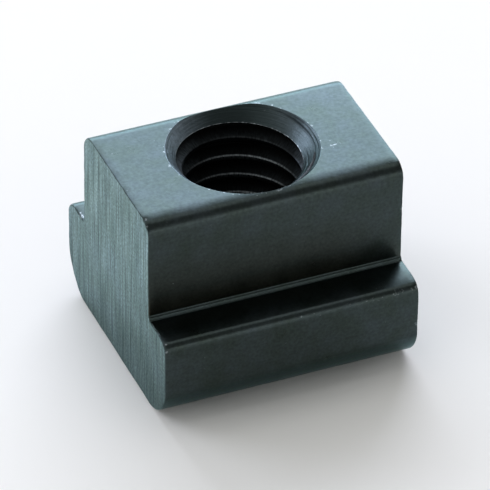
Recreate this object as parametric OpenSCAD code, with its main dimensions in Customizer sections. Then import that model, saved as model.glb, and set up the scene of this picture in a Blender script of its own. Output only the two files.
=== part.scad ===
// T-slot nut: a block of drawn T-section steel bar, sawn to length, with a
// tapped hole straight down through the stem and the flange.
// Millimetres. X runs along the slot, Y across it from front to rear, Z up. The
// origin is the middle of the underside. The rear edges are rounder than the front.

/* [Bar section] */
// Width of the stem, which runs between the lips of the slot
stem_width = 9.7; // [9.2:0.1:12]
// Width of the flange, which runs under the lips
flange_width = 14.7; // [13.6:0.1:18]
// Height of the whole nut, from its underside to the top of the stem
nut_height = 12; // [10:0.1:16]
// Height of the shoulders, which bear on the lips
flange_height = 5.7; // [4.8:0.1:7]

/* [Length] */
// Sawn length along the slot
nut_length = 15; // [12:0.5:30]

/* [Drawn edges, front] */
// Radius rolled on the front top edge of the stem
front_stem_edge_r = 0.8; // [0.3:0.1:1.6]
// Radius on the outer edge of the front shoulder
front_shoulder_edge_r = 0.55; // [0.2:0.05:1.2]
// Width of the roll under the front of the flange, along the underside
front_roll_w = 2.4; // [1.6:0.1:2.6]
// Height of that roll, up the side
front_roll_h = 2.2; // [1.8:0.1:2.7]
// Radius of that roll
front_roll_r = 2.7; // [2.4:0.1:6]

/* [Drawn edges, rear] */
// Radius rolled on the rear top edge of the stem
rear_stem_edge_r = 1.3; // [0.3:0.1:1.6]
// Radius on the outer edge of the rear shoulder
rear_shoulder_edge_r = 1; // [0.2:0.05:1.2]
// Width of the roll under the rear of the flange, along the underside
rear_roll_w = 2; // [1.6:0.1:2.6]
// Height of that roll, up the side
rear_roll_h = 2.6; // [1.8:0.1:2.7]
// Radius of that roll
rear_roll_r = 3.1; // [2.7:0.1:6]

/* [Drawn feet] */
// Fillet in the corner between the stem and a shoulder
foot_fillet_r = 0.3; // [0.1:0.05:0.8]

/* [Tapped hole] */
// Nominal diameter of the thread
thread_d = 8; // [5:1:8]
// Pitch of the thread
thread_pitch = 1.25; // [0.75:0.25:1.5]
// How far the upper countersink opens out past the thread, across its diameter
top_countersink_over = 0.55; // [0.1:0.05:0.9]
// How far the lower countersink opens out past the thread, across its diameter
base_countersink_over = 0.3; // [0.1:0.05:0.9]
// Included angle of both countersinks
countersink_angle = 90; // [60:5:120]

/* [Hidden] */
$fn = 128;
stem_half = stem_width / 2;
flange_half = flange_width / 2;
// A 60 degree thread keeps five eighths of its sharp height
sharp_thread_h = thread_pitch * sqrt(3) / 2;
bore_r = thread_d / 2 - sharp_thread_h * 5 / 8;
top_countersink_r = (thread_d + top_countersink_over) / 2;
base_countersink_r = (thread_d + base_countersink_over) / 2;
countersink_flare = tan(countersink_angle / 2);
top_countersink_depth = (top_countersink_r - bore_r) / countersink_flare;
base_countersink_depth = (base_countersink_r - bore_r) / countersink_flare;
// A roll's arc passes through its top on the side and its end on the underside
function roll_lift(w, h, r) = sqrt(r ^ 2 - (norm([w, h]) / 2) ^ 2) / norm([w, h]);
function roll_y(w, h, r) = flange_half - w / 2 - h * roll_lift(w, h, r);
function roll_z(w, h, r) = h / 2 + w * roll_lift(w, h, r);
// Distance that a cutter runs on past the face it cuts
run_out = 1;

// Flange with rounded shoulders above and a roll under each side
module flange_section() {
    difference() {
        union() {
            translate([-flange_half + front_shoulder_edge_r, 0])
                square([flange_width - front_shoulder_edge_r - rear_shoulder_edge_r, flange_height]);
            rounded_side(-1, flange_half, flange_height, front_shoulder_edge_r);
            rounded_side(1, flange_half, flange_height, rear_shoulder_edge_r);
        }
        base_roll_waste(-1, front_roll_w, front_roll_h, front_roll_r);
        base_roll_waste(1, rear_roll_w, rear_roll_h, rear_roll_r);
    }
}

// One side of a block, -1 at the front or 1 at the rear, under its rounded edge
module rounded_side(side, half_width, height, edge_r) {
    translate([side < 0 ? -half_width : 0, 0])
        square([half_width, height - edge_r]);
    translate([side * (half_width - edge_r), height - edge_r])
        circle(r = edge_r);
}

// What a roll takes off the lower corner on one side
module base_roll_waste(side, w, h, r) {
    waste = r + run_out;
    translate([side * roll_y(w, h, r), roll_z(w, h, r)])
        difference() {
            translate([side < 0 ? -waste : 0, -waste])
                square(waste);
            circle(r = r);
        }
}

// Stem with rolled top edges, standing on the flange in two small fillets
module stem_section() {
    translate([-stem_half + front_stem_edge_r, 0])
        square([stem_width - front_stem_edge_r - rear_stem_edge_r, nut_height]);
    rounded_side(-1, stem_half, nut_height, front_stem_edge_r);
    rounded_side(1, stem_half, nut_height, rear_stem_edge_r);
    for (side = [0, 1])
        mirror([side, 0])
            foot_fillet_section();
}

// Concave fillet in the foot of the stem on the +Y side
module foot_fillet_section() {
    translate([stem_half, flange_height])
        difference() {
            square(2 * foot_fillet_r, center = true);
            translate([foot_fillet_r, foot_fillet_r])
                circle(r = foot_fillet_r);
        }
}

// T-section bar cut to length along X
module sawn_bar() {
    rotate([90, 0, 90])
        linear_extrude(height = nut_length, center = true)
            union() {
                flange_section();
                stem_section();
            }
}

// Tapping bore with a countersink at each mouth
module tapped_hole() {
    translate([0, 0, -run_out])
        cylinder(r = bore_r, h = nut_height + 2 * run_out);
    translate([0, 0, nut_height - top_countersink_depth])
        cylinder(
            r1 = bore_r,
            r2 = top_countersink_r + run_out * countersink_flare,
            h = top_countersink_depth + run_out
        );
    translate([0, 0, -run_out])
        cylinder(
            r1 = base_countersink_r + run_out * countersink_flare,
            r2 = bore_r,
            h = base_countersink_depth + run_out
        );
}

// The whole nut, one piece of blackened steel
module t_slot_nut() {
    color([0.2, 0.23, 0.24])
        difference() {
            sawn_bar();
            tapped_hole();
        }
}

t_slot_nut();
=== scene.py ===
import math
import random

import bmesh
import bpy
import numpy as np
from mathutils import Matrix, Vector


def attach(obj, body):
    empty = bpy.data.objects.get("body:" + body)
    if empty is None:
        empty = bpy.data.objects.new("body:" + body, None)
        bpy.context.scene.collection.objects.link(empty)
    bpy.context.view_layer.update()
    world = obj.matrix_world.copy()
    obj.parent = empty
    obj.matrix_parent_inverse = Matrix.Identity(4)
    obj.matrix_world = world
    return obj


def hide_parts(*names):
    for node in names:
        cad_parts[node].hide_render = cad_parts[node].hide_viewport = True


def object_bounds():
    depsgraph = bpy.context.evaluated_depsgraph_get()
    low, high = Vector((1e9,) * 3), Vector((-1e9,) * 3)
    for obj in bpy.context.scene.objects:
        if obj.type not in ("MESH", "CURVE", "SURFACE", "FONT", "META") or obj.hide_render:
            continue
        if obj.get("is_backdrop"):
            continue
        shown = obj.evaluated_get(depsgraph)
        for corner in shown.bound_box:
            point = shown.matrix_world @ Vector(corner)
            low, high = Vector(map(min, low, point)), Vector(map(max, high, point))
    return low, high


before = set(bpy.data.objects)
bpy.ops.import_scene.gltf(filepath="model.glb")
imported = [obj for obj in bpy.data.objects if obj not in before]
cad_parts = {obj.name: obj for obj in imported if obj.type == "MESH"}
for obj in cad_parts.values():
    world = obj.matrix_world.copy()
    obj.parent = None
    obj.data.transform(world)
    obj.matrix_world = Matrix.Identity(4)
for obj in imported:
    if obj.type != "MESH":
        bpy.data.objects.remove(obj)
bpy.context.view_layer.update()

# The bar. The nut is one block of T-section steel, cold drawn to shape, so its long
# edges carry the rolls and fillets of the die, rounder at the rear than in front. It is
# worked in millimetres, lying along X, and turned to metres once the hole is cut.
BAR_LENGTH = 15.0
BAR_HEIGHT = 12.0
STEM_HALF = 9.7 / 2
FLANGE_HALF = 14.7 / 2
SHOULDER_Z = 5.7
FOOT_FILLET = 0.11
FOOT_STEP = (0.13, 0.15)
FOOT_LEAN = 0.02
# top roll and shoulder round: radius, easing radius and angle; base roll: width, height, radius
FRONT_EDGES = ((0.78, 3.5, math.radians(9.8)), (0.5, 6.5, math.radians(9.0)), (2.4, 2.2, 2.7))
REAR_EDGES = ((1.3, 3.0, 0.0), (1.0, 3.0, 0.0), (2.0, 2.6, 3.1))


def drawn_side(inset, top_roll, shoulder_round, base_roll):
    """One side of the drawn outline as (y, z), from the middle of the underside out and
    up to the middle of the top, drawn in by inset with the same number of points."""
    points = []

    def straight(start, end, steps):
        for i in range(steps):
            t = i / steps
            points.append((start[0] + (end[0] - start[0]) * t, start[1] + (end[1] - start[1]) * t))

    def arc(centre, radius, start, end, steps):
        for i in range(steps):
            a = start + (end - start) * i / steps
            points.append((centre[0] + radius * math.cos(a), centre[1] + radius * math.sin(a)))

    def rolled_edge(start, reach, height, rounding, steps):
        edge_r, ease_r, ease = rounding
        centre = (reach - edge_r, height - ease_r * (1 - math.cos(ease)) - edge_r * math.cos(ease))
        crown = centre[0] + (edge_r - ease_r) * math.sin(ease)
        straight(start, (reach - inset, centre[1]), steps)
        arc(centre, edge_r - inset, 0, quarter - ease, 24)
        if ease:
            arc((crown, height - ease_r), ease_r - inset, quarter - ease, quarter, 10)
        return crown, height - inset

    quarter = math.pi / 2
    width, height, radius = base_roll
    chord = math.hypot(width, height)
    lift = math.sqrt(radius**2 - (chord / 2) ** 2) / chord
    roll = (FLANGE_HALF - width / 2 - height * lift, height / 2 + width * lift)
    side, stem = FLANGE_HALF - inset, STEM_HALF - inset
    heel = roll[0] + math.sqrt((radius - inset) ** 2 - (roll[1] - inset) ** 2)
    cheek = roll[1] - math.sqrt((radius - inset) ** 2 - (side - roll[0]) ** 2)
    step_y, step_z = STEM_HALF + FOOT_STEP[0] - inset, SHOULDER_Z + FOOT_STEP[1] - inset
    straight((0, inset), (heel, inset), 24)
    heel_angle = math.atan2(inset - roll[1], heel - roll[0])
    arc(roll, radius - inset, heel_angle, math.atan2(cheek - roll[1], side - roll[0]), 26)
    shoulder = rolled_edge((side, cheek), FLANGE_HALF, SHOULDER_Z, shoulder_round, 22)
    straight(shoulder, (step_y + FOOT_FILLET, SHOULDER_Z - inset), 12)
    foot_z = SHOULDER_Z - inset + FOOT_FILLET
    arc((step_y + FOOT_FILLET, foot_z), FOOT_FILLET, 3 * quarter, 2 * quarter, 8)
    straight((step_y, foot_z), (step_y - FOOT_LEAN, step_z), 2)
    arc((stem + FOOT_FILLET, step_z + FOOT_FILLET), FOOT_FILLET, 3 * quarter, 2 * quarter, 8)
    crown = rolled_edge((stem, step_z + FOOT_FILLET), STEM_HALF, BAR_HEIGHT, top_roll, 40)
    straight(crown, (0, BAR_HEIGHT - inset), 30)
    return points + [(0, BAR_HEIGHT - inset)]


def drawn_outline(inset):
    """The whole outline, from the middle of the underside round by the rear."""
    rear = drawn_side(inset, *REAR_EDGES)
    front = drawn_side(inset, *FRONT_EDGES)
    return rear + [(-y, z) for y, z in front[-2:0:-1]]


# The saw leaves a ragged edge, tumbled round again: its size wanders along the outline,
# and here and there it is nicked: end, y, z, size, depth
BREAK_MOST = 0.14
BREAK_USUAL = (0.05, 0.1)
EDGE_BAND = 0.4
NICKS = (
    (-1, -4.15, 12.0, 0.16, 0.07),
    (-1, -4.58, 11.8, 0.14, 0.06),
    (-1, -7.35, 5.2, 0.25, 0.08),
    (-1, -7.1, 5.6, 0.2, 0.06),
    (-1, 6.9, 5.65, 0.3, 0.07),
    (-1, 5.5, 5.75, 0.6, 0.05),
    (1, -7.25, 5.5, 0.35, 0.1),
    (1, -7.35, 3.0, 0.3, 0.05),
    (1, -4.85, 9.1, 0.25, 0.06),
    (1, 4.3, 11.8, 0.3, 0.08),
)
worn = random.Random(508)
full, drawn_in = drawn_outline(0), drawn_outline(BREAK_MOST)
count = len(full)
end_x = BAR_LENGTH / 2
bar = bmesh.new()
rings = []
for end in (-1, 1):
    knots = [worn.uniform(*BREAK_USUAL) for _ in range(count // 4 + 2)]
    breaks = [float(np.interp(i / 4, range(len(knots)), knots)) for i in range(count)]
    for nick_end, y, z, size, depth in NICKS:
        if nick_end == end:
            for i, point in enumerate(full):
                breaks[i] += depth * math.exp(-((math.dist(point, (y, z)) / size) ** 2))
    turned = [[bar.verts.new((end * (end_x - EDGE_BAND), y, z)) for y, z in full]]
    for turn in (0, math.pi / 4, math.pi / 2):
        ring = []
        for (fy, fz), (iy, iz), size in zip(full, drawn_in, breaks):
            t = size / BREAK_MOST * (1 - math.cos(turn))
            x = end * (end_x - size * (1 - math.sin(turn)))
            ring.append(bar.verts.new((x, fy + (iy - fy) * t, fz + (iz - fz) * t)))
        turned.append(ring)
    rings += turned[::-1] if end < 0 else turned


def join_rings(mesh, loops):
    """Faces between each closed loop of points and the next one."""
    for low, high in zip(loops, loops[1:]):
        for i in range(len(low)):
            j = (i + 1) % len(low)
            mesh.faces.new((low[i], low[j], high[j], high[i]))


join_rings(bar, rings)


def linear(hex_colour):
    """An sRGB hex colour as the linear RGBA that a shader socket takes."""
    parts = [int(hex_colour[i : i + 2], 16) / 255 for i in (0, 2, 4)]
    return [c / 12.92 if c <= 0.04045 else ((c + 0.055) / 1.055) ** 2.4 for c in parts] + [1.0]


def add(tree, kind, inputs=None, **settings):
    """A shader node with its settings, and its inputs set or linked."""
    made = tree.nodes.new(kind)
    for name, value in settings.items():
        setattr(made, name, value)
    for socket, value in (inputs or {}).items():
        if isinstance(value, bpy.types.NodeSocket):
            tree.links.new(value, made.inputs[socket])
        else:
            made.inputs[socket].default_value = value
    return made


MM = 1000.0


def start_finish(name):
    """A new material, its empty node tree, and the place on the nut in millimetres."""
    finish = bpy.data.materials.new(name)
    finish.use_nodes = True
    nodes = finish.node_tree
    nodes.nodes.clear()
    place = add(nodes, "ShaderNodeTexCoord")
    scaled = add(nodes, "ShaderNodeVectorMath", {0: place.outputs["Object"], "Scale": MM}, operation="SCALE")
    return finish, nodes, scaled.outputs[0]


# Black oxide over cold-drawn steel: a thin blue-black skin with a satin shine, clouded
# here bluer and paler and there greener, and paler towards one corner of the top. A warm
# dark reflection of the shoulder is painted low on the front of the stem. There are faint
# drawing lines along the bar, and a few specks where the bare metal shows, more of them
# round the mouths of the hole, in two scuffs beside it and along the rubbed end of the
# front shoulder. The grain is drawn coarser than life, or it would not show.
CLOUD_MM = 1.6
DRAW_LINE_MM = (5.0, 0.12)
GRAIN_MM = 0.18
SPECK_MM = 0.22
SCUFFED = ((-4.35, 1.9, 12.0), (4.75, -1.5, 12.0))
MOUTH_R = 8.6 / 2
RUBBED_END = (7.5, -7.27, 5.42)
RUBBED_FADE = (0.055, 2.5, 2.5)
PALE_TOP_CORNER = (7.5, 4.2, 12.0)
STEM_FOOT = SHOULDER_Z + FOOT_STEP[1] + FOOT_FILLET
# painted warm reflection: colour, and the heights where it is full and where it is gone
PAINTED_WARM_REFLECTION = (("363b38", 7.6, 10.0), ("44433a", 6.0, 7.2))
drawn_steel, tree, mm = start_finish("black_oxide_drawn_steel")
cloud = add(
    tree, "ShaderNodeTexNoise", {"Vector": mm, "Scale": 1 / CLOUD_MM, "Detail": 4.0, "Roughness": 0.6}
)
along = (1 / DRAW_LINE_MM[0], 1 / DRAW_LINE_MM[1], 1 / DRAW_LINE_MM[1])
stretched = add(tree, "ShaderNodeVectorMath", {0: mm, 1: along}, operation="MULTIPLY")
lines = add(tree, "ShaderNodeTexNoise", {"Vector": stretched.outputs[0], "Scale": 1.0, "Detail": 2.0})
grain = add(tree, "ShaderNodeTexNoise", {"Vector": mm, "Scale": 1 / GRAIN_MM, "Detail": 3.0})
spots = add(tree, "ShaderNodeTexNoise", {"Vector": mm, "Scale": 1 / SPECK_MM, "Detail": 2.0})
left, right = [
    add(tree, "ShaderNodeVectorMath", {0: mm, 1: spot}, operation="DISTANCE") for spot in SCUFFED
]
flat = add(tree, "ShaderNodeVectorMath", {0: mm, 1: (1.0, 1.0, 0.0)}, operation="MULTIPLY")
from_axis = add(tree, "ShaderNodeVectorMath", {0: flat.outputs[0]}, operation="LENGTH")
off_rim = add(tree, "ShaderNodeMath", {0: from_axis.outputs["Value"], 1: MOUTH_R}, operation="SUBTRACT")
off_rim = add(tree, "ShaderNodeMath", {0: off_rim.outputs[0], 1: 3.0}, operation="MULTIPLY")
nearer = add(
    tree, "ShaderNodeMath", {0: left.outputs["Value"], 1: right.outputs["Value"]}, operation="MINIMUM"
)
nearer = add(tree, "ShaderNodeMath", {0: nearer.outputs[0], 1: off_rim.outputs[0]}, operation="MINIMUM")
from_end = add(tree, "ShaderNodeVectorMath", {0: mm, 1: RUBBED_END}, operation="SUBTRACT")
shortened = add(
    tree, "ShaderNodeVectorMath", {0: from_end.outputs[0], 1: RUBBED_FADE}, operation="MULTIPLY"
)
off_edge = add(tree, "ShaderNodeVectorMath", {0: shortened.outputs[0]}, operation="LENGTH")
nearest = add(
    tree, "ShaderNodeMath", {0: nearer.outputs[0], 1: off_edge.outputs["Value"]}, operation="MINIMUM"
)
scuffed = add(
    tree,
    "ShaderNodeMapRange",
    {"Value": nearest.outputs[0], "From Min": 0.1, "From Max": 0.8, "To Min": 0.16, "To Max": 0.0},
)
wear_and_painted_light = add(tree, "ShaderNodeMath", {0: spots.outputs[0], 1: scuffed.outputs[0]}, operation="ADD")
speck = add(
    tree,
    "ShaderNodeMapRange",
    {"Value": wear_and_painted_light.outputs[0], "From Min": 0.75, "From Max": 0.85, "To Min": 0.0, "To Max": 0.38},
)
clouded = add(tree, "ShaderNodeMapRange", {"Value": cloud.outputs[0], "From Min": 0.3, "From Max": 0.7})
skin = add(
    tree,
    "ShaderNodeMix",
    {0: clouded.outputs[0], 6: linear("3a433f"), 7: linear("3c4446")},
    data_type="RGBA",
)
axes = add(tree, "ShaderNodeSeparateXYZ", {0: mm})
on_stem = add(tree, "ShaderNodeMath", {0: axes.outputs["Z"], 1: STEM_FOOT}, operation="GREATER_THAN")
less_right = add(
    tree,
    "ShaderNodeMapRange",
    {"Value": axes.outputs["X"], "From Min": 3.0, "From Max": 6.5, "To Min": 1.0, "To Max": 0.2},
)
on_stem = add(tree, "ShaderNodeMath", {0: on_stem.outputs[0], 1: less_right.outputs[0]}, operation="MULTIPLY")
in_front = add(tree, "ShaderNodeMath", {0: axes.outputs["Y"], 1: 0.0}, operation="LESS_THAN")
on_stem = add(tree, "ShaderNodeMath", {0: on_stem.outputs[0], 1: in_front.outputs[0]}, operation="MULTIPLY")
# a warm dark reflection of the shoulder is painted low on the front of the stem
for shade, full_z, gone_z in PAINTED_WARM_REFLECTION:
    faded = add(
        tree,
        "ShaderNodeMapRange",
        {"Value": axes.outputs["Z"], "From Min": full_z, "From Max": gone_z, "To Min": 1.0, "To Max": 0.0},
    )
    warm_reflection_share = add(tree, "ShaderNodeMath", {0: on_stem.outputs[0], 1: faded.outputs[0]}, operation="MULTIPLY")
    skin = add(
        tree,
        "ShaderNodeMix",
        {0: warm_reflection_share.outputs[0], 6: skin.outputs[2], 7: linear(shade)},
        data_type="RGBA",
    )
lined = add(
    tree,
    "ShaderNodeMix",
    {0: lines.outputs[0], 6: linear("e2e2e2"), 7: linear("ffffff")},
    data_type="RGBA",
)
streaked = add(
    tree,
    "ShaderNodeMix",
    {0: 0.6, 6: skin.outputs[2], 7: lined.outputs[2]},
    data_type="RGBA",
    blend_type="MULTIPLY",
)
pitted = add(
    tree,
    "ShaderNodeMapRange",
    {"Value": grain.outputs[0], "From Min": 0.3, "From Max": 0.7, "To Min": 0.84, "To Max": 1.16},
)
blotchy = add(
    tree,
    "ShaderNodeMapRange",
    {"Value": cloud.outputs[0], "From Min": 0.3, "From Max": 0.7, "To Min": 0.9, "To Max": 1.1},
)
# paler towards the right rear corner of the top
off_corner = add(tree, "ShaderNodeVectorMath", {0: mm, 1: PALE_TOP_CORNER}, operation="DISTANCE")
paler_corner = add(
    tree,
    "ShaderNodeMapRange",
    {"Value": off_corner.outputs["Value"], "From Min": 1.0, "From Max": 6.0, "To Min": 1.21, "To Max": 1.0},
)
uneven = add(tree, "ShaderNodeMath", {0: blotchy.outputs[0], 1: paler_corner.outputs[0]}, operation="MULTIPLY")
mottled = add(tree, "ShaderNodeMath", {0: pitted.outputs[0], 1: uneven.outputs[0]}, operation="MULTIPLY")
grained = add(
    tree, "ShaderNodeVectorMath", {0: streaked.outputs[2], "Scale": mottled.outputs[0]}, operation="SCALE"
)
bare_and_highlight = add(tree, "ShaderNodeAttribute", attribute_name="bare_edge_and_crest_highlight")
ragged = add(tree, "ShaderNodeMath", {0: bare_and_highlight.outputs["Fac"], 1: grain.outputs[0]}, operation="ADD")
fleck = add(
    tree,
    "ShaderNodeMapRange",
    {"Value": ragged.outputs[0], "From Min": 1.05, "From Max": 1.3, "To Max": 0.8},
)
worn_through = add(tree, "ShaderNodeMath", {0: speck.outputs[0], 1: fleck.outputs[0]}, operation="MAXIMUM")
colour = add(
    tree,
    "ShaderNodeMix",
    {0: worn_through.outputs[0], 6: grained.outputs[0], 7: linear("a4adb0")},
    data_type="RGBA",
)
dull = add(
    tree,
    "ShaderNodeMapRange",
    {"Value": cloud.outputs[0], "From Min": 0.3, "From Max": 0.7, "To Min": 0.27, "To Max": 0.35},
)
heights = add(tree, "ShaderNodeMath", {0: lines.outputs[0], 1: grain.outputs[0]}, operation="ADD")
relief = add(tree, "ShaderNodeBump", {"Height": heights.outputs[0], "Strength": 0.5, "Distance": 0.000004})
satin = add(
    tree,
    "ShaderNodeBsdfPrincipled",
    {
        "Base Color": colour.outputs[2],
        "Metallic": 1.0,
        "Roughness": dull.outputs[0],
        "Specular Tint": linear("e7ffff"),
        "Normal": relief.outputs[0],
    },
)
add(tree, "ShaderNodeOutputMaterial", {"Surface": satin.outputs[0]})

# The ends. The bar was sawn into blocks and the cut left as it was: upright lines of
# uneven depth, a fifth of a millimetre or so apart, which fade and return down the face.
DRAWN, SAWN, TURNED, TAPPED = range(4)
SAW_PITCH = (0.1, 0.34)
SAW_DEPTH = 0.024
SAW_ROW = 0.8
saw = random.Random(15)
for ring, side in ((rings[0][::-1], -1), (rings[-1], 1)):
    cap = bar.faces.new(ring)
    cap.material_index = SAWN
    parts = [cap, *cap.edges, *cap.verts]
    cuts = []
    y = -FLANGE_HALF
    while y < FLANGE_HALF:
        y += saw.uniform(*SAW_PITCH)
        cuts.append(y)
    planes = [((0, y, 0), (0, 1, 0)) for y in cuts]
    planes += [((0, 0, SAW_ROW * i), (0, 0, 1)) for i in range(1, int(BAR_HEIGHT / SAW_ROW) + 1)]
    for point, normal in planes:
        cut = bmesh.ops.bisect_plane(bar, geom=parts, plane_co=point, plane_no=normal, dist=1e-5)
        parts = list({*cut["geom"], *cut["geom_cut"]})
    depths = np.array([0.0] + [SAW_DEPTH * saw.random() ** 2 for _ in cuts])
    waves = np.array([saw.uniform(3, 9) for _ in depths])
    starts = np.array([saw.uniform(0, 2 * math.pi) for _ in depths])
    stations = [-FLANGE_HALF] + cuts
    sawn = {v for f in bar.faces if f.material_index == SAWN for v in f.verts if v.co.x * side > 0}
    for v in sawn:
        fading = 0.6 + 0.4 * np.sin(2 * math.pi * v.co.z / waves + starts)
        v.co.x -= side * float(np.interp(v.co.y, stations, depths * fading))
bmesh.ops.recalc_face_normals(bar, faces=bar.faces)
for f in bar.faces:
    f.smooth = f.material_index == DRAWN


def as_object(mesh, name):
    """A finished mesh as an object in the scene."""
    data = bpy.data.meshes.new(name)
    mesh.to_mesh(data)
    mesh.free()
    made = bpy.data.objects.new(name, data)
    bpy.context.scene.collection.objects.link(made)
    return made


nut = as_object(bar, "t_slot_nut_body")

# Black oxide over a saw cut: duller and greyer than the drawn skin, in soft upright
# streaks of lighter and darker oxide, with fine dark scratches along the saw's travel and
# a grit between them. Shade is painted in, darker towards the underside and the front.
# Scratches and grit are drawn coarser than life, or they would not show.
STREAK_MM = (0.14, 6.0)
PATCH_MM = 2.0
SCRATCH_MM = (0.065, 4.0)
GRIT_MM = 0.15
sawn_steel, tree, mm = start_finish("black_oxide_sawn_steel")
upright = (1 / STREAK_MM[1], 1 / STREAK_MM[0], 1 / STREAK_MM[1])
stretched = add(tree, "ShaderNodeVectorMath", {0: mm, 1: upright}, operation="MULTIPLY")
streak = add(
    tree,
    "ShaderNodeTexNoise",
    {"Vector": stretched.outputs[0], "Scale": 1.0, "Detail": 3.0, "Roughness": 0.6},
)
patch = add(tree, "ShaderNodeTexNoise", {"Vector": mm, "Scale": 1 / PATCH_MM, "Detail": 4.0})
fine = (1 / SCRATCH_MM[1], 1 / SCRATCH_MM[0], 1 / SCRATCH_MM[1])
scratched = add(tree, "ShaderNodeVectorMath", {0: mm, 1: fine}, operation="MULTIPLY")
scratch = add(tree, "ShaderNodeTexNoise", {"Vector": scratched.outputs[0], "Scale": 1.0, "Detail": 2.0})
grit = add(tree, "ShaderNodeTexNoise", {"Vector": mm, "Scale": 1 / GRIT_MM, "Detail": 2.0})
clouded = add(tree, "ShaderNodeMapRange", {"Value": patch.outputs[0], "From Min": 0.35, "From Max": 0.65})
half_patch = add(tree, "ShaderNodeMath", {0: patch.outputs[0], 1: 0.5}, operation="MULTIPLY")
shade = add(tree, "ShaderNodeMath", {0: streak.outputs[0], 1: half_patch.outputs[0]}, operation="ADD")
spread = add(tree, "ShaderNodeMapRange", {"Value": shade.outputs[0], "From Min": 0.45, "From Max": 1.05})
worn_skin = add(
    tree,
    "ShaderNodeMix",
    {0: spread.outputs[0], 6: linear("4a5c5d"), 7: linear("9fb0b0")},
    data_type="RGBA",
)
score = add(
    tree,
    "ShaderNodeMapRange",
    {"Value": scratch.outputs[0], "From Min": 0.34, "From Max": 0.5, "To Min": 0.26, "To Max": 1.04},
)
axes = add(tree, "ShaderNodeSeparateXYZ", {0: mm})
# painted shade: darker towards the underside and the front of the end
painted_shade_height = add(
    tree, "ShaderNodeMath", {0: axes.outputs["Y"], 1: 0.2, 2: axes.outputs["Z"]}, operation="MULTIPLY_ADD"
)
painted_shade = add(
    tree,
    "ShaderNodeMapRange",
    {"Value": painted_shade_height.outputs[0], "From Min": -0.6, "From Max": 7.6, "To Min": 0.48, "To Max": 1.0},
)
scratches_and_shade = add(tree, "ShaderNodeMath", {0: score.outputs[0], 1: painted_shade.outputs[0]}, operation="MULTIPLY")
gritty = add(
    tree,
    "ShaderNodeMapRange",
    {"Value": grit.outputs[0], "From Min": 0.3, "From Max": 0.7, "To Min": 0.62, "To Max": 1.4},
)
scratches_grit_and_shade = add(tree, "ShaderNodeMath", {0: scratches_and_shade.outputs[0], 1: gritty.outputs[0]}, operation="MULTIPLY")
hue = add(
    tree,
    "ShaderNodeMix",
    {0: clouded.outputs[0], 6: linear("fffffb"), 7: linear("f8fbff")},
    data_type="RGBA",
)
tinted = add(
    tree, "ShaderNodeVectorMath", {0: worn_skin.outputs[2], 1: hue.outputs[2]}, operation="MULTIPLY"
)
skin = add(
    tree, "ShaderNodeVectorMath", {0: tinted.outputs[0], "Scale": scratches_grit_and_shade.outputs[0]}, operation="SCALE"
)
bare_and_highlight = add(tree, "ShaderNodeAttribute", attribute_name="bare_edge_and_crest_highlight")
ragged = add(tree, "ShaderNodeMath", {0: bare_and_highlight.outputs["Fac"], 1: grit.outputs[0]}, operation="ADD")
fleck = add(
    tree,
    "ShaderNodeMapRange",
    {"Value": ragged.outputs[0], "From Min": 1.05, "From Max": 1.3, "To Max": 0.8},
)
colour = add(
    tree,
    "ShaderNodeMix",
    {0: fleck.outputs[0], 6: skin.outputs[0], 7: linear("a4adb0")},
    data_type="RGBA",
)
dull = add(
    tree,
    "ShaderNodeMapRange",
    {"Value": patch.outputs[0], "From Min": 0.3, "From Max": 0.7, "To Min": 0.42, "To Max": 0.5},
)
heights = add(tree, "ShaderNodeMath", {0: scratch.outputs[0], 1: grit.outputs[0]}, operation="ADD")
relief = add(tree, "ShaderNodeBump", {"Height": heights.outputs[0], "Strength": 0.7, "Distance": 0.000016})
rough_satin = add(
    tree,
    "ShaderNodeBsdfPrincipled",
    {
        "Base Color": colour.outputs[2],
        "Metallic": 1.0,
        "Roughness": dull.outputs[0],
        "Specular Tint": linear("e7ffff"),
        "Normal": relief.outputs[0],
    },
)
add(tree, "ShaderNodeOutputMaterial", {"Surface": rough_satin.outputs[0]})

# The tapped hole. An M8 thread of 1.25 mm pitch is tapped right through the block. The
# tap is drawn as a closed screw and cut out of the bar further down, and the crests that
# it leaves have small rolled lips.
THREAD_R = 8.0 / 2
PITCH = 1.25
MINOR_R = THREAD_R - PITCH * math.sqrt(3) / 2 * 5 / 8
RUN_OUT = 1.0
TURN_STEPS = 144
CREST_Z = 10.2
CREST_ANGLE = math.radians(70)
crest, root, lip = PITCH / 8, PITCH / 16, 0.04
thread_form = [
    (-crest, MINOR_R + lip),
    (-crest + lip, MINOR_R),
    (crest - lip, MINOR_R),
    (crest, MINOR_R + lip),
    (crest + lip * 0.8, MINOR_R + lip * 2.4),
    (PITCH / 2 - root - lip / 2, THREAD_R - lip),
    (PITCH / 2 - root + lip, THREAD_R),
    (PITCH / 2 + root - lip, THREAD_R),
    (PITCH / 2 + root + lip / 2, THREAD_R - lip),
]
rows = []
turns = math.ceil((BAR_HEIGHT + 2 * RUN_OUT) / PITCH) + 1
start_z = CREST_Z - PITCH * math.ceil((CREST_Z + RUN_OUT) / PITCH + 1)
for turn in range(turns + 1):
    rows += [(start_z + turn * PITCH + z, r) for z, r in thread_form]
tap = bmesh.new()
columns = []
for i in range(TURN_STEPS):
    a = 2 * math.pi * i / TURN_STEPS
    rise = PITCH * (a - CREST_ANGLE) / (2 * math.pi)
    columns.append([tap.verts.new((r * math.cos(a), r * math.sin(a), z + rise)) for z, r in rows])
shift = len(thread_form)
last = len(rows) - 1
for i in range(TURN_STEPS - 1):
    for j in range(last):
        tap.faces.new((columns[i][j], columns[i][j + 1], columns[i + 1][j + 1], columns[i + 1][j]))
seam, first = columns[-1], columns[0]
for j in range(last - shift):
    tap.faces.new((seam[j], seam[j + 1], first[j + shift + 1], first[j + shift]))
foot_tip = tap.verts.new((0, 0, rows[0][0] + PITCH / 2))
head_tip = tap.verts.new((0, 0, rows[-1][0] - PITCH / 2))
foot_loop = [c[0] for c in columns] + first[shift::-1]
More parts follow.
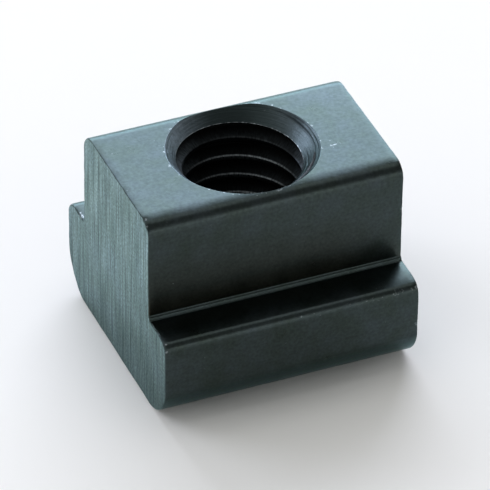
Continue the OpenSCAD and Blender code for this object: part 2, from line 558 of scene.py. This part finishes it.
for a, b in zip(foot_loop, foot_loop[1:]):
    tap.faces.new((a, b, foot_tip))
for j in range(last - shift, last):
    tap.faces.new((seam[j], seam[j + 1], head_tip))
head_loop = [c[last] for c in columns]
for a, b in zip(head_loop, head_loop[1:]):
    tap.faces.new((b, a, head_tip))
tap.faces.new((first[last], seam[last - shift], head_tip))
bmesh.ops.recalc_face_normals(tap, faces=tap.faces)
for f in tap.faces:
    f.material_index = TAPPED
    f.smooth = True
cutters = [as_object(tap, "tap")]

# Black oxide over a tapped thread: the deepest black on the nut, dull, with fine torn ribs
# across the turns. Shade is painted in, darker towards the roots, and the ribbed flanks near
# the crests are painted paler away from the rear, as light that falls on the sides of the hole.
TEAR_MM = (0.08, 0.2)
DARK_REAR = (1.4, 2.6, 0.0)
tapped_steel, tree, mm = start_finish("black_oxide_tapped_steel")
axes = add(tree, "ShaderNodeSeparateXYZ", {0: mm})
turned = add(tree, "ShaderNodeMath", {0: axes.outputs["Y"], 1: axes.outputs["X"]}, operation="ARCTAN2")
round_hole = add(
    tree, "ShaderNodeMath", {0: turned.outputs[0], 1: MINOR_R / TEAR_MM[0]}, operation="MULTIPLY"
)
down_hole = add(tree, "ShaderNodeMath", {0: axes.outputs["Z"], 1: 1 / TEAR_MM[1]}, operation="MULTIPLY")
unrolled = add(tree, "ShaderNodeCombineXYZ", {"X": round_hole.outputs[0], "Y": down_hole.outputs[0]})
tear = add(
    tree,
    "ShaderNodeTexNoise",
    {"Vector": unrolled.outputs[0], "Scale": 1.0, "Detail": 1.0},
    noise_dimensions="2D",
)
ribs = add(
    tree, "ShaderNodeMapRange", {"Value": tear.outputs[0], "From Min": 0.3, "From Max": 0.7, "To Min": 0.3}
)
flat = add(tree, "ShaderNodeVectorMath", {0: mm, 1: (1.0, 1.0, 0.0)}, operation="MULTIPLY")
from_axis = add(tree, "ShaderNodeVectorMath", {0: flat.outputs[0]}, operation="LENGTH")
# painted shade: the flanks darken from the crests down into the roots
painted_root_shade = add(
    tree,
    "ShaderNodeMapRange",
    {
        "Value": from_axis.outputs["Value"],
        "From Min": MINOR_R + 0.1,
        "From Max": MINOR_R + 0.6,
        "To Min": 1.0,
        "To Max": 0.1,
    },
    interpolation_type="SMOOTHSTEP",
)
# painted light: the flanks near the crests are paler away from the rear of the hole
off_rear = add(tree, "ShaderNodeVectorMath", {0: flat.outputs[0], 1: DARK_REAR}, operation="DISTANCE")
wear_and_painted_light = add(
    tree,
    "ShaderNodeMapRange",
    {"Value": off_rear.outputs["Value"], "From Min": 2.6, "From Max": 6.0, "To Min": 0.16, "To Max": 2.8},
)
painted_crest_light = add(
    tree, "ShaderNodeMath", {0: painted_root_shade.outputs[0], 1: wear_and_painted_light.outputs[0]}, operation="MULTIPLY"
)
ribbed = add(tree, "ShaderNodeMath", {0: ribs.outputs[0], 1: painted_crest_light.outputs[0]}, operation="MULTIPLY")
flank = add(
    tree,
    "ShaderNodeMix",
    {0: ribbed.outputs[0], 6: linear("0c0d0d"), 7: linear("485054")},
    data_type="RGBA",
)
bare_and_highlight = add(tree, "ShaderNodeAttribute", attribute_name="bare_edge_and_crest_highlight")
patchy = add(tree, "ShaderNodeMath", {0: bare_and_highlight.outputs["Fac"], 1: ribs.outputs[0]}, operation="MULTIPLY")
colour = add(
    tree,
    "ShaderNodeMix",
    {0: patchy.outputs[0], 6: flank.outputs[2], 7: linear("8d9598")},
    data_type="RGBA",
)
relief = add(tree, "ShaderNodeBump", {"Height": tear.outputs[0], "Strength": 0.5, "Distance": 0.00002})
dull_black = add(
    tree,
    "ShaderNodeBsdfPrincipled",
    {"Base Color": colour.outputs[2], "Metallic": 1.0, "Roughness": 0.42, "Normal": relief.outputs[0]},
)
add(tree, "ShaderNodeOutputMaterial", {"Surface": dull_black.outputs[0]})

# The countersinks. Both mouths are turned out at 90 degrees before tapping, with fine
# rings from the tool. Two deeper lines are scored side by side part of the way round the
# upper cone and wind out towards the rim, which is itself broken by about a hundredth.
TOP_SINK_R = (8.0 + 0.55) / 2
BASE_SINK_R = (8.0 + 0.3) / 2
SINKS = (("top_sink", BAR_HEIGHT, TOP_SINK_R, 1), ("base_sink", 0.0, BASE_SINK_R, -1))
SINK_HEIGHT = 1.2
RING_MM = (0.1, 0.17)
RING_DEPTH = 0.024
RING_SHAPE = ((1, 0.5), (2, 1.0), (3, 0.5), (4, 0.0))
RING_WAVES = 36
RING_TOP = -0.03
SCORE_DEPTH = 0.045
SCORE_MIDDLE, SCORE_SPREAD = math.radians(8), math.radians(27)
RIM = ((-0.012, 0.0), (0.0, 0.012))


def scored(angle, step):
    """How deep the upper cone is scored, at an angle round it and a step up it."""
    off = (angle - SCORE_MIDDLE + math.pi) % (2 * math.pi) - math.pi
    across = step + 0.25 - 0.15 * off
    twice = math.exp(-((across / 0.04) ** 2)) + 0.7 * math.exp(-(((across - 0.13) / 0.035) ** 2))
    return twice * math.exp(-((off / SCORE_SPREAD) ** 4))


turning = random.Random(90)
wave_turns = np.linspace(0, 2 * math.pi, RING_WAVES + 1)
for name, mouth_z, mouth_r, out in SINKS:
    profile = [(0.5 - mouth_r, 0.0), (-SINK_HEIGHT, 0.0)]
    while profile[-1][0] < -0.04 - RING_MM[1]:
        pitch, deep = turning.uniform(*RING_MM), turning.uniform(0.3, 1) * RING_DEPTH
        start = profile[-1][0]
        profile += [(start + pitch * i / len(RING_SHAPE), deep * share) for i, share in RING_SHAPE]
    profile += [*RIM, (RUN_OUT, 0.012)]
    sink = bmesh.new()
    loops = []
    for step, cut_in in profile:
        uneven = [turning.uniform(0.4, 1.6) if step < RING_TOP else 1.0 for _ in range(RING_WAVES)]
        uneven.append(uneven[0])
        loop = []
        for i in range(TURN_STEPS):
            a = 2 * math.pi * (i + 0.5) / TURN_STEPS
            radius = mouth_r + step + cut_in * float(np.interp(a, wave_turns, uneven))
            if out > 0 and step < RING_TOP:
                radius += SCORE_DEPTH * scored(a, step)
            loop.append(sink.verts.new((radius * math.cos(a), radius * math.sin(a), mouth_z + out * step)))
        loops.append(loop)
    join_rings(sink, loops)
    for loop in (loops[0], loops[-1]):
        sink.faces.new(loop)
    bmesh.ops.recalc_face_normals(sink, faces=sink.faces)
    for f in sink.faces:
        f.material_index = TURNED
        f.smooth = True
    cutters.append(as_object(sink, name))

# Black oxide over a turned cone: blue-black and brighter than the thread, with a painted
# reflection of the lamps at its two sides, broken up like scuffs, the fine rings of the tool,
# dark score lines and a few light scuffs from screws. The rings are drawn coarser than life,
# or they would not show.
SCUFF_MM = 0.25
FINE_RING_MM = 0.06
turned_steel, tree, mm = start_finish("black_oxide_turned_steel")
cloud = add(tree, "ShaderNodeTexNoise", {"Vector": mm, "Scale": 1 / CLOUD_MM, "Detail": 4.0})
scuffs = add(
    tree, "ShaderNodeTexNoise", {"Vector": mm, "Scale": 1 / SCUFF_MM, "Detail": 4.0, "Roughness": 0.7}
)
scuff = add(
    tree,
    "ShaderNodeMapRange",
    {"Value": scuffs.outputs[0], "From Min": 0.66, "From Max": 0.78, "To Min": 0.0, "To Max": 0.5},
)
plain = add(
    tree,
    "ShaderNodeMix",
    {0: cloud.outputs[0], 6: linear("2f3837"), 7: linear("374042")},
    data_type="RGBA",
)
axes = add(tree, "ShaderNodeSeparateXYZ", {0: mm})
# painted reflection of the lamps on the left and right sides of the cone
painted_reflection_left = add(
    tree,
    "ShaderNodeMapRange",
    {"Value": axes.outputs["X"], "From Min": -0.1, "From Max": -3.6},
    interpolation_type="SMOOTHSTEP",
)
painted_reflection_right = add(
    tree,
    "ShaderNodeMapRange",
    {"Value": axes.outputs["X"], "From Min": 2.4, "From Max": 3.8, "To Max": 0.17},
    interpolation_type="SMOOTHSTEP",
)
painted_reflection_sides = add(tree, "ShaderNodeMath", {0: painted_reflection_left.outputs[0], 1: painted_reflection_right.outputs[0]}, operation="MAXIMUM")
wear_and_painted_light = add(tree, "ShaderNodeMath", {0: painted_reflection_sides.outputs[0], 1: scuffs.outputs[0]}, operation="MULTIPLY")
skin = add(
    tree,
    "ShaderNodeMix",
    {0: wear_and_painted_light.outputs[0], 6: plain.outputs[2], 7: linear("9aa9b6")},
    data_type="RGBA",
)
groove = add(tree, "ShaderNodeAttribute", attribute_name="scored")
skin = add(
    tree,
    "ShaderNodeMix",
    {0: groove.outputs["Fac"], 6: skin.outputs[2], 7: linear("14181a")},
    data_type="RGBA",
)
bare_and_highlight = add(tree, "ShaderNodeAttribute", attribute_name="worn_rim")
ragged = add(tree, "ShaderNodeMath", {0: bare_and_highlight.outputs["Fac"], 1: scuffs.outputs[0]}, operation="ADD")
fleck = add(
    tree,
    "ShaderNodeMapRange",
    {"Value": ragged.outputs[0], "From Min": 1.5, "From Max": 1.75, "To Max": 0.9},
)
worn_through = add(tree, "ShaderNodeMath", {0: scuff.outputs[0], 1: fleck.outputs[0]}, operation="MAXIMUM")
colour = add(
    tree,
    "ShaderNodeMix",
    {0: worn_through.outputs[0], 6: skin.outputs[2], 7: linear("a4adb0")},
    data_type="RGBA",
)
flat = add(tree, "ShaderNodeVectorMath", {0: mm, 1: (1.0, 1.0, 0.0)}, operation="MULTIPLY")
from_axis = add(tree, "ShaderNodeVectorMath", {0: flat.outputs[0]}, operation="LENGTH")
ring_place = add(
    tree, "ShaderNodeMath", {0: from_axis.outputs["Value"], 1: 1 / FINE_RING_MM}, operation="MULTIPLY"
)
fine_rings = add(
    tree,
    "ShaderNodeTexNoise",
    {"W": ring_place.outputs[0], "Scale": 1.0, "Detail": 1.0},
    noise_dimensions="1D",
)
heights = add(tree, "ShaderNodeMath", {0: fine_rings.outputs[0], 1: scuffs.outputs[0]}, operation="ADD")
relief = add(tree, "ShaderNodeBump", {"Height": heights.outputs[0], "Strength": 0.7, "Distance": 0.00002})
turned_satin = add(
    tree,
    "ShaderNodeBsdfPrincipled",
    {
        "Base Color": colour.outputs[2],
        "Metallic": 1.0,
        "Roughness": 0.36,
        "Specular Tint": linear("e7ffff"),
        "Normal": relief.outputs[0],
    },
)
add(tree, "ShaderNodeOutputMaterial", {"Surface": turned_satin.outputs[0]})

# The finished nut. The hole is cut out of the bar, and bare steel shows through the oxide
# where the edges are nicked and where the thread starts. The crests of the thread are painted
# pale, bare metal together with a painted highlight, strongest on the rear wall of the hole.
WELD = 1e-4
NICK_REACH = 0.25
NICK_BARE = 0.68
CREST_PALE = {0: 0.1, -1: 1.0}
CREST_PALE_USUAL = 0.8
START_WORN, START_WIDTH = 1.15, 0.07
SHARP_TURN = math.radians(35)
for piece in (nut, *cutters):
    for finish in (drawn_steel, sawn_steel, turned_steel, tapped_steel):
        piece.data.materials.append(finish)
for cutter in cutters:
    bore = nut.modifiers.new(cutter.name, "BOOLEAN")
    bore.object = cutter
    bore.operation = "DIFFERENCE"
    bore.solver = "EXACT"
    bore.material_mode = "INDEX"
cut_nut = bpy.data.meshes.new_from_object(nut.evaluated_get(bpy.context.evaluated_depsgraph_get()))
nut.modifiers.clear()
nut.data = cut_nut
for cutter in cutters:
    bpy.data.objects.remove(cutter)
work = bmesh.new()
work.from_mesh(cut_nut)
bmesh.ops.remove_doubles(work, verts=work.verts, dist=WELD)
bmesh.ops.dissolve_degenerate(work, edges=work.edges, dist=WELD)
bmesh.ops.dissolve_verts(work, verts=[v for v in work.verts if len(v.link_edges) == 2])
bare_and_highlight_layer = work.verts.layers.float.new("bare_edge_and_crest_highlight")
rim_layer = work.verts.layers.float.new("worn_rim")
score_layer = work.verts.layers.float.new("scored")
finishes = {v: {f.material_index for f in v.link_faces} for v in work.verts}
thread_start = sorted(
    (math.atan2(v.co.y, v.co.x), v.co.z)
    for v in work.verts
    if {TURNED, TAPPED} <= finishes[v] and v.co.z > BAR_HEIGHT / 2
)
for v in work.verts:
    if end_x - abs(v.co.x) < NICK_REACH:
        for nick_end, y, z, size, depth in NICKS:
            if nick_end * v.co.x > 0:
                near = math.exp(-((math.dist((v.co.y, v.co.z), (y, z)) / size) ** 2))
                v[bare_and_highlight_layer] = max(v[bare_and_highlight_layer], NICK_BARE * near)
    turn = math.atan2(v.co.y, v.co.x)
    # crest lips painted pale: bare metal together with a painted highlight, strongest on the rear wall
    if math.hypot(v.co.x, v.co.y) < MINOR_R + lip + 0.01:
        up_turn = (v.co.z - CREST_Z) / PITCH - (turn - CREST_ANGLE) / (2 * math.pi)
        if abs((up_turn % 1) * PITCH - crest + lip / 2) < lip:
            facing = 0.5 + 0.5 * math.cos(turn - CREST_ANGLE)
            crest_pale = CREST_PALE.get(round(up_turn - 0.1), CREST_PALE_USUAL)
            v[bare_and_highlight_layer] = crest_pale * (0.12 + 0.88 * facing**7)
    if TURNED in finishes[v] and v.co.z > BAR_HEIGHT / 2:
        v[score_layer] = min(1.0, scored(turn, v.co.z - BAR_HEIGHT))
        above = v.co.z - float(np.interp(turn, *zip(*thread_start)))
        v[rim_layer] = START_WORN * math.exp(-((above / START_WIDTH) ** 2))
bmesh.ops.scale(work, vec=[1 / MM] * 3, verts=work.verts)
work.to_mesh(cut_nut)
work.free()
cut_nut.set_sharp_from_angle(angle=SHARP_TURN)
work = bmesh.new()
work.from_mesh(cut_nut)
for e in work.edges:
    if len({f.material_index for f in e.link_faces}) > 1:
        e.smooth = False
work.to_mesh(cut_nut)
work.free()
even = nut.modifiers.new("even_shading", "WEIGHTED_NORMAL")
even.keep_sharp = True
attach(nut, "root")
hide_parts("t_slot_nut")

# The floor. A plain sweep of white paper: flat under the nut, and turned up into a low
# round wall at its edge.
FLOOR_R = 0.62
SWEEP_R = 0.14
WALL_TOP = 0.26
FLOOR_STEPS = 96
FLOOR_GAP = 0.00001
sweep = [(0.05, 0.0), (0.2, 0.0), (FLOOR_R, 0.0)]
for i in range(1, 13):
    a = math.pi / 2 * i / 12
    sweep.append((FLOOR_R + SWEEP_R * math.sin(a), SWEEP_R * (1 - math.cos(a))))
sweep.append((FLOOR_R + SWEEP_R, WALL_TOP))
ground = bmesh.new()
loops = []
for radius, z in sweep:
    ring = []
    for i in range(FLOOR_STEPS):
        a = 2 * math.pi * i / FLOOR_STEPS
        ring.append(ground.verts.new((radius * math.cos(a), radius * math.sin(a), z - FLOOR_GAP)))
    loops.append(ring)
ground.faces.new(loops[0])
join_rings(ground, loops[::-1])
for f in ground.faces:
    f.smooth = True
floor = as_object(ground, "floor")

# Matt white paper: no shine, near white in the light and plain grey in the nut's shadow,
# and lifted to a clean white away from the nut.
paper, tree, mm = start_finish("matt_white_paper")
white = add(
    tree,
    "ShaderNodeBsdfPrincipled",
    {"Base Color": linear("f0f0ec"), "Roughness": 0.9, "Specular IOR Level": 0.0},
)
ray = add(tree, "ShaderNodeLightPath")
seen = add(
    tree,
    "ShaderNodeMath",
    {0: ray.outputs["Is Camera Ray"], 1: ray.outputs["Is Glossy Ray"]},
    operation="MAXIMUM",
)
seen = add(
    tree, "ShaderNodeMath", {0: seen.outputs[0], 1: ray.outputs["Is Transmission Ray"]}, operation="MAXIMUM"
)
away = add(tree, "ShaderNodeVectorMath", {0: mm}, operation="LENGTH")
lifted = add(
    tree,
    "ShaderNodeMapRange",
    {"Value": away.outputs["Value"], "From Min": 7.5, "From Max": 28.0, "To Max": 0.47},
)
share = add(tree, "ShaderNodeMath", {0: seen.outputs[0], 1: lifted.outputs[0]}, operation="MULTIPLY")
plain_white = add(tree, "ShaderNodeEmission", {"Color": (1, 1, 1, 1), "Strength": 1.0})
pale = add(
    tree, "ShaderNodeMixShader", {0: share.outputs[0], 1: white.outputs[0], 2: plain_white.outputs[0]}
)
add(tree, "ShaderNodeOutputMaterial", {"Surface": pale.outputs[0]})
floor.data.materials.append(paper)
floor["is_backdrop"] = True

# The light. One broad daylight softbox stands low behind the nut and a smaller one to the
# left of it. A weak fill stands on the left, another overhead and a soft card in front, and
# the rest of the room is dim.
LAMP_FAR = 0.5
middle = Vector((0, 0, BAR_HEIGHT / 2 / MM))
for name, azimuth, elevation, wide, high, level, tint in (
    ("back_softbox", 18.0, 28.0, 0.48, 0.36, 6.15, "eaeeff"),
    ("left_softbox", -42.0, 19.0, 0.28, 0.24, 5.5, "eaeeff"),
    ("left_fill", -95.0, 45.0, 0.60, 0.40, 0.5, "ffffff"),
    ("overhead", 10.0, 80.0, 0.60, 0.32, 0.8, "ffffff"),
    ("front_card", 157.0, 13.5, 0.70, 0.235, 0.6, "ffffff"),
):
    a, e = math.radians(azimuth), math.radians(elevation)
    out = Vector((math.sin(a) * math.cos(e), math.cos(a) * math.cos(e), math.sin(e)))
    lamp = bpy.data.lights.new(name, "AREA")
    lamp.shape = "RECTANGLE"
    lamp.size, lamp.size_y = wide, high
    lamp.energy = level * math.pi * wide * high
    lamp.color = linear(tint)[:3]
    holder = bpy.data.objects.new(name, lamp)
    holder.location = middle + out * LAMP_FAR
    holder.rotation_euler = out.to_track_quat("Z", "Y").to_euler()
    holder.visible_camera = False
    bpy.context.scene.collection.objects.link(holder)
room = bpy.data.worlds.new("dim_room")
room.use_nodes = True
tree = room.node_tree
tree.nodes.clear()
air = add(tree, "ShaderNodeBackground", {"Color": (1, 1, 1, 1), "Strength": 0.25})
add(tree, "ShaderNodeOutputWorld", {"Surface": air.outputs[0]})
bpy.context.scene.world = room

# The camera. A long lens, a little above the nut and to the left of its front.
IMAGE_PX = 490
FOCUS_PX = 5357.5
CAMERA_FAR = 0.2967
AIM_RIGHT, AIM_UP = 0.000167, -0.000509
az, el, roll = math.radians(-22.873), math.radians(36.565), math.radians(0.676)
back = Vector((math.sin(az) * math.cos(el), -math.cos(az) * math.cos(el), math.sin(el)))
right = (-back).cross(Vector((0, 0, 1))).normalized()
up = right.cross(-back)
right, up = right * math.cos(roll) + up * math.sin(roll), up * math.cos(roll) - right * math.sin(roll)
lens = bpy.data.cameras.new("camera")
lens.lens = FOCUS_PX * lens.sensor_width / IMAGE_PX
lens.clip_start, lens.clip_end = 0.01, 5.0
camera = bpy.data.objects.new("camera", lens)
stand = middle + right * AIM_RIGHT + up * AIM_UP + back * CAMERA_FAR
camera.matrix_world = Matrix.Translation(stand) @ Matrix((right, up, back)).transposed().to_4x4()
bpy.context.scene.collection.objects.link(camera)
bpy.context.scene.camera = camera
bpy.context.scene.view_settings.view_transform = "Standard"

# The box of the finished nut.
bpy.context.view_layer.update()
low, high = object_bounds()
